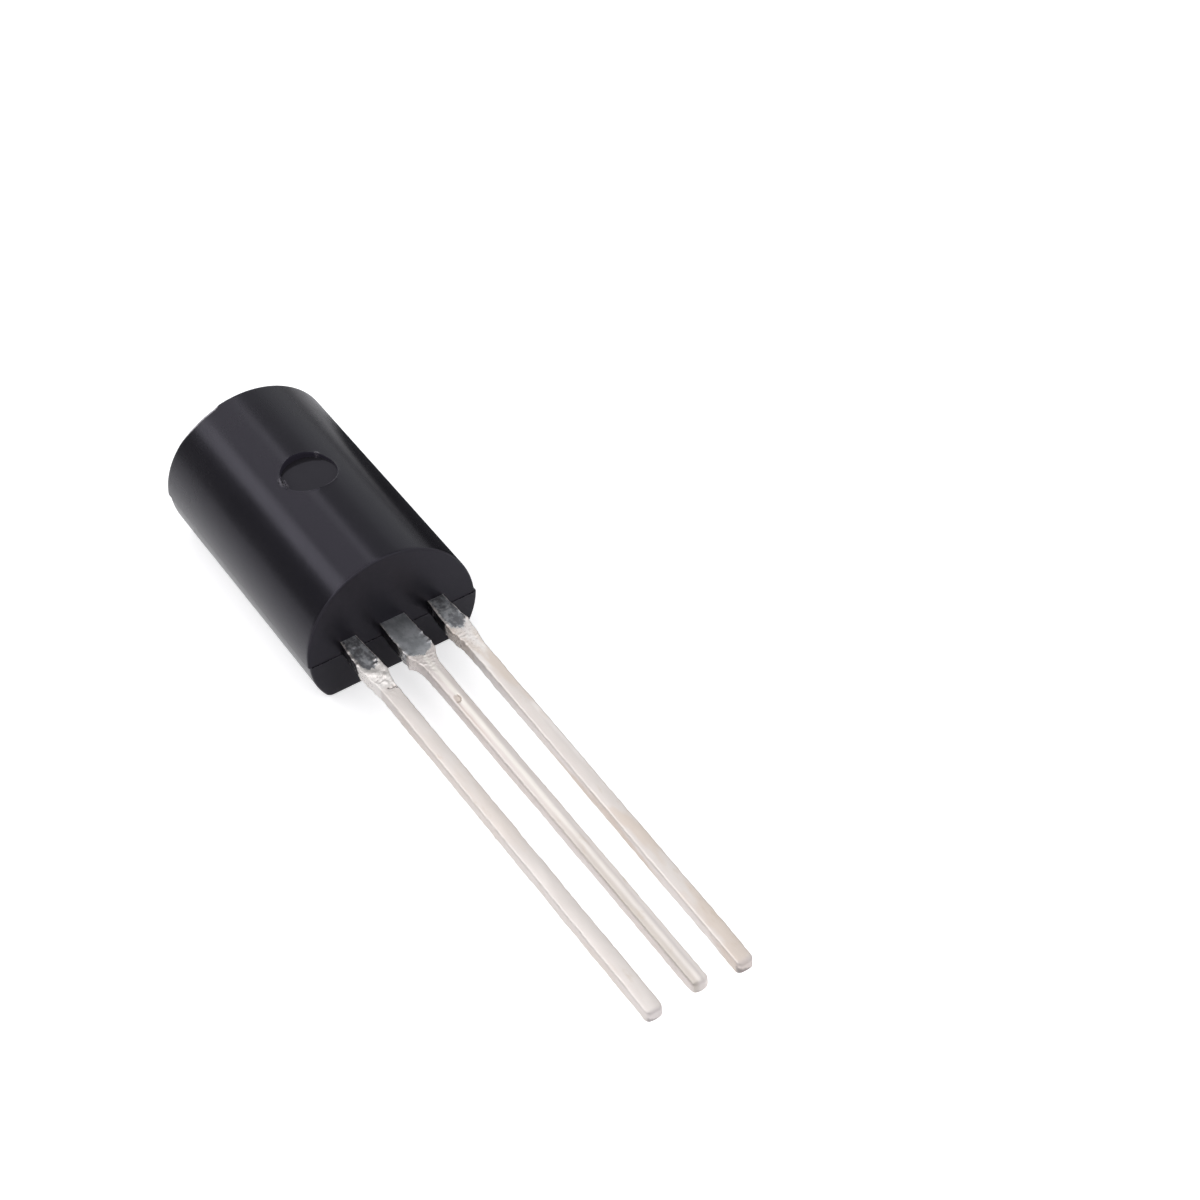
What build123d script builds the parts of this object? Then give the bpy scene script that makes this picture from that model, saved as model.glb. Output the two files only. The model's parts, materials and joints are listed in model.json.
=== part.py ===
"""Long-body TO-92 transistor: a moulded D-shaped body with three straight tinned leads.

Millimetres, +Z up. The part lies on its flat face, round back up, as it comes to rest.
The origin is the centre of the flat face, X runs across the row of leads, and the leads
point towards -Y.
"""
from build123d import *
from math import radians, tan
import os

# Moulded body
body_width = 4.85
body_length = 7.90
parting_height = 1.40
round_half_draft = 3.0
flat_half_draft = 5.0
flat_corner_radius = 0.25
end_edge_radius = 0.06

# Offset of the mould half that forms the round back from the half that forms the flat
mould_shift_across = 0.04
mould_shift_along = 0.02

# Ejector-pin mark on the round back, a little off the middle
mark_diameter = 1.50
mark_depth = 0.20
mark_across = 0.02
mark_along = 0.10

# Slender part of the leads
lead_pitch = 1.27
lead_thickness = 0.40
lead_width = 0.44
lead_length = 13.80
lead_edge_radius = 0.07
tip_corner_radius = 0.12
emitter_tip_lean = 0.13

# Roots of the leads, from the body out to the neck past the sheared dam bar
outer_root_width = 0.42
outer_dam_width = 0.58
middle_root_width = 0.68
middle_dam_width = 0.76
dam_distance = 1.00
dam_length = 0.42
dam_stub = 0.03
neck_length = 0.55

# Bond posts, the inner ends of the two outer leads
post_distance = 1.55
post_length = 1.10
post_width = 1.05
post_corner_radius = 0.12

# Paddle, the inner end of the collector lead
paddle_post_gap = 0.40
paddle_side_cover = 0.85
paddle_rear_cover = 1.45
paddle_corner_radius = 0.25
lock_hole_diameter = 0.70
lock_hole_edge = 0.40

# Die and its solder
die_side = 0.90
die_thickness = 0.20
die_setback = 0.45
solder_thickness = 0.03
solder_margin = 0.06

# Bond wires
wire_diameter = 0.05
pad_offset = 0.24
ball_diameter = 0.12
ball_height = 0.04
wire_rise = 0.30
wire_bend_radius = 0.12
stitch_length = 0.14
stitch_width = 0.10
stitch_height = 0.03

# Heights and places that follow from the sizes above
body_radius = body_width / 2
back_top = parting_height + body_radius
lead_end_face = -body_length / 2
lead_tip = lead_end_face - lead_length
lead_top = parting_height + lead_thickness
lead_plane = Plane.XY.offset(parting_height)
post_front = lead_end_face + post_distance
post_middle = post_front + post_length / 2
paddle_front = post_front + post_length + paddle_post_gap
paddle_back = body_length / 2 - paddle_rear_cover
paddle_middle = (paddle_front + paddle_back) / 2
die_middle = paddle_front + die_setback + die_side / 2
solder_top = lead_top + solder_thickness
die_top = solder_top + die_thickness


def half_body(origin, draft, height, align, corner_radius=0.0):
    """One mould half of the body: its part of the round section, cut by two drafted ends."""
    section_plane = Plane(origin=origin, x_dir=(1, 0, 0), z_dir=(0, -1, 0))
    side_plane = Plane(origin=origin, x_dir=(0, 1, 0), z_dir=(1, 0, 0))
    far_side = body_width if align == Align.MIN else -body_width
    inset = abs(far_side) * tan(radians(draft))
    with BuildPart() as half:
        with BuildSketch(section_plane) as section:
            with Locations((0, parting_height)):
                Circle(body_radius)
                Rectangle(body_width, height, align=(Align.CENTER, align), mode=Mode.INTERSECT)
            if corner_radius:
                fillet(section.vertices().group_by(Axis.Y)[0], corner_radius)
        extrude(amount=body_length / 2, both=True)
        with BuildSketch(side_plane):
            with BuildLine():
                Polyline(
                    (-body_length / 2, parting_height),
                    (body_length / 2, parting_height),
                    (body_length / 2 - inset, parting_height + far_side),
                    (-body_length / 2 + inset, parting_height + far_side),
                    close=True,
                )
            make_face()
        extrude(amount=body_width, both=True, mode=Mode.INTERSECT)
        ends = half.faces().sort_by(Axis.Y)
        rims = (ends[0].edges() + ends[-1].edges()).filter_by(
            lambda edge: abs(edge.center().Z - parting_height) > end_edge_radius
        )
        fillet(rims, end_edge_radius)
    return half.part


def lead_outline(middle, root_width, dam_width, inner_end, tip_lean=0.0):
    """Closed outline of one stamped lead, from its inner end out to its tip."""
    dam_front = lead_end_face - dam_distance
    dam_back = dam_front - dam_length
    stations = [
        (inner_end, root_width / 2),
        (lead_end_face, root_width / 2),
        (dam_front, dam_width / 2),
        (dam_front, dam_width / 2 + dam_stub),
        (dam_back, dam_width / 2 + dam_stub),
        (dam_back, dam_width / 2),
        (dam_back - neck_length, lead_width / 2),
    ]
    right = [(middle + half, y) for y, half in stations]
    left = [(middle - half, y) for y, half in reversed(stations)]
    tip_right = (middle + tip_lean + lead_width / 2, lead_tip)
    tip_left = (middle + tip_lean - lead_width / 2, lead_tip)
    return Polyline(*right, tip_right, tip_left, *left, close=True)


def round_tip_corners(plan):
    """Round the two corners at the sheared end of a lead."""
    fillet(plan.vertices().group_by(Axis.Y)[0], tip_corner_radius)


def round_long_edges(lead):
    """Round the four edges along the slender part of a lead."""
    fillet(lead.edges().filter_by(lambda edge: edge.length > lead_length / 2), lead_edge_radius)


os.makedirs("parts", exist_ok=True)

# Collector lead: the middle lead, one stamping with the paddle that carries the die
with BuildPart() as collector_lead:
    with BuildSketch(lead_plane) as collector_plan:
        with BuildLine():
            lead_outline(0, middle_root_width, middle_dam_width, paddle_middle)
        make_face()
        round_tip_corners(collector_plan)
        with Locations((0, paddle_middle)):
            RectangleRounded(
                body_width - 2 * paddle_side_cover, paddle_back - paddle_front, paddle_corner_radius
            )
        with Locations((0, paddle_back - lock_hole_edge - lock_hole_diameter / 2)):
            Circle(lock_hole_diameter / 2, mode=Mode.SUBTRACT)
    extrude(amount=lead_thickness)
    round_long_edges(collector_lead)
collector_lead.part.label = "collector_lead"
export_step(collector_lead.part, "parts/collector_lead.step")

# Emitter and base leads: the outer leads, each one stamping with its bond post
outer_leads = []
for name, side, tip_lean in (("emitter_lead", 1, -emitter_tip_lean), ("base_lead", -1, 0.0)):
    with BuildPart() as outer_lead:
        with BuildSketch(lead_plane) as outer_plan:
            with BuildLine():
                lead_outline(side * lead_pitch, outer_root_width, outer_dam_width, post_middle, tip_lean)
            make_face()
            round_tip_corners(outer_plan)
            with Locations((side * lead_pitch, post_middle)):
                RectangleRounded(post_width, post_length, post_corner_radius)
        extrude(amount=lead_thickness)
        round_long_edges(outer_lead)
    outer_lead.part.label = name
    export_step(outer_lead.part, f"parts/{name}.step")
    outer_leads.append(outer_lead.part)

# Die-attach solder, a thin pad between the paddle and the die
with BuildPart() as die_attach:
    with BuildSketch(Plane.XY.offset(lead_top)):
        with Locations((0, die_middle)):
            RectangleRounded(die_side + 2 * solder_margin, die_side + 2 * solder_margin, solder_margin)
    extrude(amount=solder_thickness)
die_attach.part.label = "die_attach"
export_step(die_attach.part, "parts/die_attach.step")

# Silicon die
with BuildPart() as transistor_die:
    with BuildSketch(Plane.XY.offset(solder_top)):
        with Locations((0, die_middle)):
            Rectangle(die_side, die_side)
    extrude(amount=die_thickness)
transistor_die.part.label = "transistor_die"
export_step(transistor_die.part, "parts/transistor_die.step")

# Bond wires: a squashed ball on the die, a loop, and a flattened stitch on the post
bond_wires = []
for name, side in (("emitter_bond_wire", 1), ("base_bond_wire", -1)):
    pad = Vector(side * pad_offset, die_middle - pad_offset, die_top)
    stitch = Vector(side * lead_pitch, post_middle, lead_top)
    run = Vector(stitch.X - pad.X, stitch.Y - pad.Y, 0)
    wire_plane = Plane(origin=pad, x_dir=run, z_dir=run.cross(Vector(0, 0, 1)))
    stitch_plane = Plane(origin=stitch, x_dir=run, z_dir=(0, 0, 1))
    stitch_level = lead_top - die_top + wire_diameter / 2
    with BuildPart() as bond_wire:
        with BuildLine(wire_plane) as loop:
            FilletPolyline(
                (0, ball_height / 2), (0, wire_rise), (run.length, stitch_level), radius=wire_bend_radius
            )
        with BuildSketch(Plane(origin=loop.line @ 0, z_dir=loop.line % 0)):
            Circle(wire_diameter / 2)
        sweep()
        with BuildSketch(Plane.XY.offset(die_top)):
            with Locations((pad.X, pad.Y)):
                Circle(ball_diameter / 2)
        extrude(amount=ball_height)
        with BuildSketch(stitch_plane):
            SlotOverall(stitch_length, stitch_width)
        extrude(amount=stitch_height)
    bond_wire.part.label = name
    export_step(bond_wire.part, f"parts/{name}.step")
    bond_wires.append(bond_wire.part)

# Moulded epoxy body: both mould halves in one piece, closed round everything inside
round_half = half_body(
    (-mould_shift_across, mould_shift_along, 0), round_half_draft, body_radius, Align.MIN
)
flat_half = half_body((0, 0, 0), flat_half_draft, parting_height, Align.MAX, flat_corner_radius)
with BuildPart() as epoxy_body:
    add(flat_half)
    add(round_half)
    with BuildSketch(Plane.XY.offset(back_top - mark_depth)):
        with Locations((mark_across, mark_along)):
            Circle(mark_diameter / 2)
    extrude(amount=body_radius, mode=Mode.SUBTRACT)
    for piece in (collector_lead.part, *outer_leads, die_attach.part, transistor_die.part, *bond_wires):
        add(piece, mode=Mode.SUBTRACT)
epoxy_body.part.label = "epoxy_body"
export_step(epoxy_body.part, "parts/epoxy_body.step")
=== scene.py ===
# %% [markdown]
# A small moulded transistor lies on its flat face, round back up, three tinned leads out.
# The CAD model gives every size. It could be shown as it is, but its round back is made of
# wide facets and its leads are perfectly straight, so the parts that the eye sees are made
# again here, finer, in the same places.

# %% Load the frame and keep its box
import json
from math import atan2, cos, degrees, exp, hypot, pi, radians, sin, sqrt, tan

import bmesh
import bpy
from mathutils import Matrix, Vector, noise

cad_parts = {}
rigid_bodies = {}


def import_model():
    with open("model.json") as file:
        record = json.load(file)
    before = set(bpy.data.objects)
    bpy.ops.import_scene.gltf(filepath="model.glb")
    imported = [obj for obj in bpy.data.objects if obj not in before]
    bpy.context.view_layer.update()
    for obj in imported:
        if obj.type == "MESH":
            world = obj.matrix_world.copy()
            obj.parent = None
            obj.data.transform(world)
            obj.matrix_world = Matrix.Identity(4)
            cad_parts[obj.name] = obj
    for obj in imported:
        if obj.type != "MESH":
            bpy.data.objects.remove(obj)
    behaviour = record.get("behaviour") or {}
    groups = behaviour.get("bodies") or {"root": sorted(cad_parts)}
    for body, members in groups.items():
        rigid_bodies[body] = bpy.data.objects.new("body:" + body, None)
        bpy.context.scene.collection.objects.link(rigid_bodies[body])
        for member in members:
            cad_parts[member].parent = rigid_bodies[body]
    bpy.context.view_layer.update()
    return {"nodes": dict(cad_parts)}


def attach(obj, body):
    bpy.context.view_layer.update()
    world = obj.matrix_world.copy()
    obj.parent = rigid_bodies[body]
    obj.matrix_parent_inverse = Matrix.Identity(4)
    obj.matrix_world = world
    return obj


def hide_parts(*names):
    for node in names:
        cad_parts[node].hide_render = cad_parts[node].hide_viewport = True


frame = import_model()
MM = 0.001
print("CAD nodes:", ", ".join(sorted(frame["nodes"])))

# %% [markdown]
# The camera comes first, because all the rest is judged through it. It looks down at 45
# degrees from the left of the leads. Its place was worked out from where the body's edges,
# the lead roots and the lead tips fall in a square picture. The columns of its matrix are its
# right, up and backward directions.

# %% Camera
AIM = Vector((5.563, -4.848, 0.0)) * MM
CAMERA_DISTANCE = 69.433 * MM
CAMERA_ELEVATION = radians(45.139)
CAMERA_TURN = radians(31.182)
CAMERA_TILT = radians(-2.645)
FOCAL_LENGTH = 79.306
SENSOR_WIDTH = 36.0

backward = Vector((
    -sin(CAMERA_TURN) * cos(CAMERA_ELEVATION),
    -cos(CAMERA_TURN) * cos(CAMERA_ELEVATION),
    sin(CAMERA_ELEVATION),
))
level_right = Vector((cos(CAMERA_TURN), -sin(CAMERA_TURN), 0.0))
level_up = backward.cross(level_right)
right = level_right * cos(CAMERA_TILT) + level_up * sin(CAMERA_TILT)
up = level_up * cos(CAMERA_TILT) - level_right * sin(CAMERA_TILT)

lens = bpy.data.cameras.new("camera")
lens.lens = FOCAL_LENGTH
lens.sensor_width = SENSOR_WIDTH
lens.clip_start, lens.clip_end = 0.005, 10.0
camera = bpy.data.objects.new("camera", lens)
bpy.context.scene.collection.objects.link(camera)
turned = Matrix((right, up, backward)).transposed().to_4x4()
camera.matrix_world = Matrix.Translation(AIM + backward * CAMERA_DISTANCE) @ turned
bpy.context.scene.camera = camera
bpy.context.scene.view_settings.view_transform = "Standard"
print("camera stands at", [round(v / MM, 1) for v in camera.matrix_world.translation], "mm")

# %% [markdown]
# Finishes are built from shader nodes. Written out node by node they are long, so a small
# class wraps a socket: a sum in Python adds the Math node that does it. Each operator has its
# reflected form too, so that 1 - mask works as well as mask - 1.

# %% A socket that takes part in sums
class Shade:
    """One output socket of a node. Python sums on it add Math nodes."""

    def __init__(self, board, socket):
        self.board, self.socket = board, socket

    def out(self, name):
        return Shade(self.board, self.socket.node.outputs[name])

    def __add__(self, other):
        return self.board.sum_of("ADD", self, other)

    __radd__ = __add__

    def __sub__(self, other):
        return self.board.sum_of("SUBTRACT", self, other)

    def __rsub__(self, other):
        return self.board.sum_of("SUBTRACT", other, self)

    def __mul__(self, other):
        return self.board.sum_of("MULTIPLY", self, other)

    __rmul__ = __mul__

    def __truediv__(self, other):
        return self.board.sum_of("DIVIDE", self, other)

    def __rtruediv__(self, other):
        return self.board.sum_of("DIVIDE", other, self)

    def __abs__(self):
        return self.board.sum_of("ABSOLUTE", self)

    def rise(self, low, high):
        """0 up to low, 1 from high on, smooth between. It falls where low is above high."""
        return self.board.node("ShaderNodeMapRange", {"interpolation_type": "SMOOTHSTEP"},
                               {"Value": self, "From Min": low, "From Max": high})

    def near(self, edge, core):
        """1 where it is within core of zero, fading to 0 at edge."""
        return abs(self).rise(edge, core)


print("a shade takes part in: + - * / abs, rise and near")

# %% [markdown]
# Any other node comes from one method that takes its type, its settings and what goes into
# its sockets. Settings are made first, because they can change the sockets. Short methods
# name the few nodes that are used all the time.

# %% A board to set nodes on
def colour(red, green, blue):
    return (red, green, blue, 1.0)


class Board:
    """A node tree, with one method that makes any node in it."""

    def __init__(self, tree):
        self.tree = tree

    def node(self, kind, settings=(), values=(), out=0):
        made = self.tree.nodes.new(kind)
        for name, setting in dict(settings).items():
            setattr(made, name, setting)
        for name, value in dict(values).items():
            self.feed(made.inputs[name], value)
        return Shade(self, made.outputs[out])

    def feed(self, socket, value):
        if isinstance(value, Shade):
            self.tree.links.new(value.socket, socket)
        else:
            socket.default_value = value

    def sum_of(self, operation, first, second=0.0):
        return self.node("ShaderNodeMath", {"operation": operation}, {0: first, 1: second})

    def larger(self, first, second):
        return self.sum_of("MAXIMUM", first, second)

    def length(self, aside, along):
        """How long a step is that goes so far aside and so far along."""
        return self.sum_of("SQRT", aside * aside + along * along)

    def blend(self, first, second, mask):
        """The first colour where the mask is 0, the second where it is 1."""
        sockets = {0: mask, 6: first, 7: second}
        return self.node("ShaderNodeMix", {"data_type": "RGBA"}, sockets, 2)

    def layered(self, first, *layers):
        """A colour with others laid over it in turn, each given with its mask."""
        for tint, mask in layers:
            first = self.blend(first, colour(*tint), mask)
        return first

    def stretch(self, place, scales):
        """A place, multiplied by one scale for each axis."""
        return self.node("ShaderNodeVectorMath", {"operation": "MULTIPLY"}, {0: place, 1: scales})

    def grain(self, place, scale, detail=2.0, roughness=0.5):
        """Cloudy noise from 0 to 1, so many lumps to a millimetre."""
        sockets = {"Vector": place, "Scale": scale, "Detail": detail, "Roughness": roughness}
        return self.node("ShaderNodeTexNoise", {}, sockets)


print("a board can do:", ", ".join(name for name in vars(Board) if name[0] != "_"))

# %% [markdown]
# A finish is a board for one material. It knows where on the part a point is, in millimetres,
# and which way the surface faces there, so that every mark is put in its place by measure.

# %% A finish for a material
class Finish(Board):
    """A material on a board, with places on the part in millimetres."""

    def __init__(self, name):
        self.material = bpy.data.materials.new(name)
        self.material.use_nodes = True
        super().__init__(self.material.node_tree)
        self.surface = self.tree.nodes["Principled BSDF"]
        metres = self.node("ShaderNodeTexCoord", out="Object")
        self.place = self.node("ShaderNodeVectorMath", {"operation": "SCALE"},
                               {0: metres, "Scale": 1 / MM})
        split = self.node("ShaderNodeSeparateXYZ", {}, {0: self.place})
        self.x, self.y, self.z = split, split.out("Y"), split.out("Z")

    def set(self, **values):
        for name, value in values.items():
            self.feed(self.surface.inputs[name.replace("_", " ")], value)

    def from_point(self, x, y):
        """Distance in plan from a point of the part."""
        return self.length(self.x - x, self.y - y)

    def facing(self):
        """How far the surface faces across, along and up, whichever way, from 0 to 1."""
        normal = self.node("ShaderNodeNewGeometry", out="Normal")
        split = self.node("ShaderNodeSeparateXYZ", {}, {0: normal})
        return abs(split), abs(split.out("Y")), abs(split.out("Z"))

    def bump(self, height, microns):
        """Turn a height from 0 to 1 into the surface's normal."""
        raised = self.node("ShaderNodeBump", {},
                           {"Strength": 1.0, "Distance": microns * 1e-6, "Height": height})
        self.feed(self.surface.inputs["Normal"], raised)


print("a finish can also do:", ", ".join(name for name in vars(Finish) if name[0] != "_"))

# %% [markdown]
# The body is black moulding compound, an epoxy full of fine glass sand. Before it is coloured
# we work out where on it a point is: on an end, on an end's rim, or in the round mark that
# the mould's ejector pin left. Each answer is a mask, a number from 0 to 1 that changes over
# the surface. A painted mask would need a picture and go soft when enlarged.

# %% Places on the body
PARTING = 1.40
MARK_X, MARK_Y = 0.02, 0.10
MARK_RADIUS = 0.75
MARK_FLOOR = 3.625

epoxy = Finish("moulded_epoxy")
_, facing_along, facing_up = epoxy.facing()
on_end = facing_along.rise(0.80, 0.95) * abs(epoxy.y).rise(3.4, 3.6)
on_rim = facing_along.rise(0.08, 0.25) * facing_along.rise(0.98, 0.85)
on_rim *= abs(epoxy.y).rise(3.74, 3.80)
high_up = epoxy.z.rise(3.55, 3.60)
from_mark = epoxy.from_point(MARK_X, MARK_Y)
in_mark = from_mark.rise(MARK_RADIUS + 0.02, MARK_RADIUS) * high_up
mark_wall = in_mark * facing_up.rise(0.65, 0.35)
mark_base = in_mark * facing_up.rise(0.90, 0.98)
print("the mark is", 2 * MARK_RADIUS, "mm across, its floor at", MARK_FLOOR, "mm")

# %% [markdown]
# The polished mould leaves fine lines along its pull, which are noise stretched along the
# body, and handling adds a few slanting rubs. More masks hold the wear of this one part:
# crumbled resin and a frayed edge at the mark, a scuffed parting line, and a stretch of the
# rear rim where it was knocked.

# %% Noise and wear on the body
pulled = epoxy.grain(epoxy.stretch(epoxy.place, (9.0, 0.35, 9.0)), 1.0, 4.0, 0.6)
slant = epoxy.node("ShaderNodeVectorRotate", {"rotation_type": "Z_AXIS"},
                   {"Vector": epoxy.place, "Angle": radians(24)})
rubbed = epoxy.grain(epoxy.stretch(slant, (14.0, 0.5, 3.0)), 1.0, 3.0, 0.55)
clouds = epoxy.grain(epoxy.place, 0.9, 3.0, 0.5)
sand = epoxy.grain(epoxy.place, 42.0, 2.0, 0.6)
pebbled = epoxy.grain(epoxy.place, 10.0, 3.0, 0.65)

crumbled = epoxy.from_point(-0.68, 0.19).rise(0.20, 0.12)
crumbled += epoxy.from_point(0.56, 0.665).rise(0.10, 0.04)
crumbled *= (from_mark - MARK_RADIUS + 0.03).near(0.12, 0.08)
crumbled *= sand.rise(0.47, 0.56)
frayed = epoxy.x.rise(0.0, 0.35) * epoxy.y.rise(0.25, 0.0)
frayed *= clouds.rise(0.35, 0.55) * high_up
frayed *= (from_mark - MARK_RADIUS - (sand - 0.5) * 0.08).near(0.028, 0.006)
crumbled = epoxy.larger(crumbled, frayed * 0.4)
scuffed = (epoxy.z - PARTING - (clouds - 0.5) * 0.03).near(0.035, 0.008)
scuffed *= rubbed.rise(0.40, 0.62)
knocked = epoxy.y.rise(3.66, 3.70) * facing_along.rise(0.06, 0.22)
knocked *= facing_up.rise(0.30, 0.45) * epoxy.x.rise(-0.68, -0.76)
knocked *= epoxy.x.rise(-1.90, -1.60) * sand.rise(0.35, 0.5)
print("epoxy nodes for wear:", len(epoxy.tree.nodes))

# %% [markdown]
# One Principled shader does the whole body. It is very dark, so what shows is nearly all
# mirror image, and the noises blur the lamps in it to soft long bands. Torn, rubbed or
# knocked resin is duller and paler, because its sand is laid bare.

# %% Finish: moulded epoxy
specks = sand.rise(0.62, 0.80) * 0.5 + pebbled.rise(0.50, 0.72) * 0.25
black = epoxy.layered(
    colour(0.0026, 0.0023, 0.0033),
    ((0.0050, 0.0045, 0.0060), clouds),
    ((0.0110, 0.0100, 0.0125), specks),
    # A painted highlight: the rims are coloured paler where they turn upwards.
    ((0.024, 0.022, 0.026), on_rim * facing_up.rise(0.1, 0.4) * 0.8),
    ((0.030, 0.028, 0.033), scuffed * 0.8),
    ((0.018, 0.017, 0.020), mark_base),
    ((0.028, 0.025, 0.036), mark_wall),
    ((0.150, 0.140, 0.155), crumbled * 0.8),
    ((0.480, 0.465, 0.490), knocked * 0.9),
)
dullness = 0.14 + pulled * 0.07 + rubbed * 0.06 + clouds * 0.06 + on_end * 0.12 + scuffed * 0.15
dullness += epoxy.y.rise(0.5, 3.8) * 0.05 + on_rim * 0.12
dullness += mark_wall * 0.4 - mark_base * 0.14 + knocked * 0.3
grainy = sand * (0.05 + on_end * 0.25 + in_mark * 0.10 + crumbled * 2.0)
epoxy.set(Base_Color=black, Roughness=dullness, Specular_IOR_Level=0.38,
          Specular_Tint=colour(0.84, 0.80, 1.0))
epoxy.bump(pulled * 0.30 + rubbed * 0.22 + clouds * 2.5 + pebbled * 0.24 + grainy, 1.4)
print("epoxy nodes:", len(epoxy.tree.nodes))

# %% [markdown]
# The leads are copper alloy strip, plated, sheared to shape and dipped in solder nearly up to
# the body. A place on a lead has two measures: its reach from the body, and how far across
# the lead it is. Rounding to whole pitches tells which lead a point is on, so one finish
# serves all three and still treats each as it is.

# %% Places on a lead
END_FACE = -3.95
TIP = -17.75
LEAD_LOW = PARTING
LEAD_TOP = 1.80
PITCH = 1.27

tin = Finish("tinned_lead")
reach = END_FACE - tin.y
lead_number = tin.sum_of("ROUND", tin.x / PITCH)
across = tin.x - lead_number * PITCH
is_outer = abs(lead_number)
is_middle = 1 - is_outer.rise(0.2, 0.8)
is_emitter = lead_number.rise(0.4, 0.6)
is_base = is_outer - is_emitter
facing_across, _, facing_up = tin.facing()
on_side = facing_across.rise(0.72, 0.92)
slanting = facing_across * facing_up
print("leads are", round(END_FACE - TIP, 2), "mm long at a pitch of", PITCH, "mm")

# %% [markdown]
# Solder creeps along a lead until it cools. Its edge is a ragged line, further out in the
# middle of the face than at the sides. So its place is a sum: a fixed reach, less on the
# outer leads, bent by the place across and broken by noise.

# %% The dip line
DIP_REACH = 1.50

ripple = tin.grain(tin.stretch(tin.place, (5.0, 2.5, 5.0)), 1.0, 3.0, 0.6)
fine_ripple = tin.grain(tin.place, 11.0, 3.0, 0.6)
grit = tin.grain(tin.place, 18.0, 4.0, 0.65)
root_half = 0.34 - is_outer * 0.13 + reach * (0.04 + is_outer * 0.03)
towards_edge = abs(across) / root_half
bow = towards_edge * towards_edge
dip_line = DIP_REACH - is_outer * 0.27 - bow * 0.24 + (ripple - 0.5) * 0.24
dip_line += (fine_ripple - 0.5) * (0.12 + is_outer * 0.16) + (grit - 0.5) * 0.10
dipped = (reach - dip_line).rise(-0.015, 0.02)
bare = 1 - dipped
solder_edge = (reach - dip_line).near(0.035, 0.006) * facing_up.rise(0.5, 0.8)
print("solder starts about", DIP_REACH, "mm from the body")

# %% [markdown]
# The root is bare plated strip: grey, clouded darker on the outer leads, and bright along its
# ragged edges. Its sheared sides near the body are painted nearly black, a painted shade, and
# its top corners carry burrs with a painted highlight. A pale tide line crosses the emitter
# lead's root.

# %% The bare root
on_corner = slanting.rise(0.06, 0.25)
# The root's top corners get a painted highlight, and as burrs they are also a little smoother.
burr_and_glint = bare * on_corner * tin.z.rise(1.60, 1.70) * fine_ripple.rise(0.38, 0.52)
# Painted shade: the root's sides near the body are coloured nearly black.
shaded_root_sides = bare * on_side * (1 - burr_and_glint) * reach.rise(1.15, 0.85)
tide_line = bare * (reach - 0.44 + bow * 0.16).near(0.035, 0.008)
tide_line *= is_emitter * ripple.rise(0.40, 0.55)
blotch = bare * fine_ripple.rise(0.53, 0.66) * ripple.rise(0.47, 0.56) * is_outer
left_half = root_half + reach.rise(1.2, 0.5) * 0.04
left_lip_from = left_half - 0.055 - is_outer * (0.010 + reach * 0.040)
left_lip = ((fine_ripple - 0.5) * 0.16 - across).rise(left_lip_from, left_half - 0.015)
right_lip = (across + (fine_ripple - 0.5) * 0.05).rise(root_half - 0.03, root_half - 0.012)
lip = tin.larger(left_lip, right_lip * 0.8) * bare * facing_up.rise(0.45, 0.75)
darker = (ripple * 0.7 + fine_ripple * 0.3).rise(0.60, 0.42)
root = tin.layered(
    colour(0.345, 0.36, 0.375),
    ((0.50, 0.515, 0.535), (ripple * 0.8 + fine_ripple * 0.2).rise(0.36, 0.64)),
    ((0.18, 0.178, 0.19), is_outer * darker * 0.8),
    ((0.035, 0.032, 0.037), shaded_root_sides),
    ((0.92, 0.90, 0.88), burr_and_glint * 0.9),
    ((0.90, 0.85, 0.81), lip * (0.35 + is_outer * 0.55)),
    ((0.66, 0.65, 0.65), blotch * 0.5 + tide_line * 0.5),
)
print("tin nodes for the root:", len(tin.tree.nodes))

# %% [markdown]
# Two small faults sit in the solder: a crack across the base lead just past the sheared bar,
# and a nick in the middle lead with a brown rim and trail. The distance from the nick is
# measured with one axis squeezed, which makes it an oval.

# %% The crack and the nick
CRACK_REACH = 2.03
NICK_REACH, NICK_ACROSS, NICK_RADIUS = 3.27, -0.085, 0.08

patches = tin.grain(tin.stretch(tin.place, (2.2, 0.55, 2.2)), 1.0, 3.0, 0.55)
crack_line = reach - CRACK_REACH - across * 0.42 - (fine_ripple - 0.5) * 0.16
crack = is_base * crack_line.near(0.020, 0.008) * (across - 0.07).near(0.15, 0.11)
crack *= facing_up.rise(0.4, 0.6)
nick_aside, nick_along = across - NICK_ACROSS, (reach - NICK_REACH) * 0.6
from_nick = tin.length(nick_aside, nick_along) - (grit - 0.5) * 0.06
nick_rim = is_middle * (from_nick - NICK_RADIUS).near(0.026, 0.008)
nick_rim *= (nick_aside + nick_along).rise(-0.03, 0.03)
nick_floor = is_middle * from_nick.rise(0.095, 0.050) * facing_up.rise(0.3, 0.6)
nick_trail = is_middle * (across + 0.135 + (patches - 0.5) * 0.05).near(0.030, 0.008)
nick_trail *= facing_up.rise(0.5, 0.8)
nick_trail *= reach.rise(3.25, 3.45) * reach.rise(5.4, 4.0)
print("crack", CRACK_REACH, "mm and nick", NICK_REACH, "mm from the body")
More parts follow.
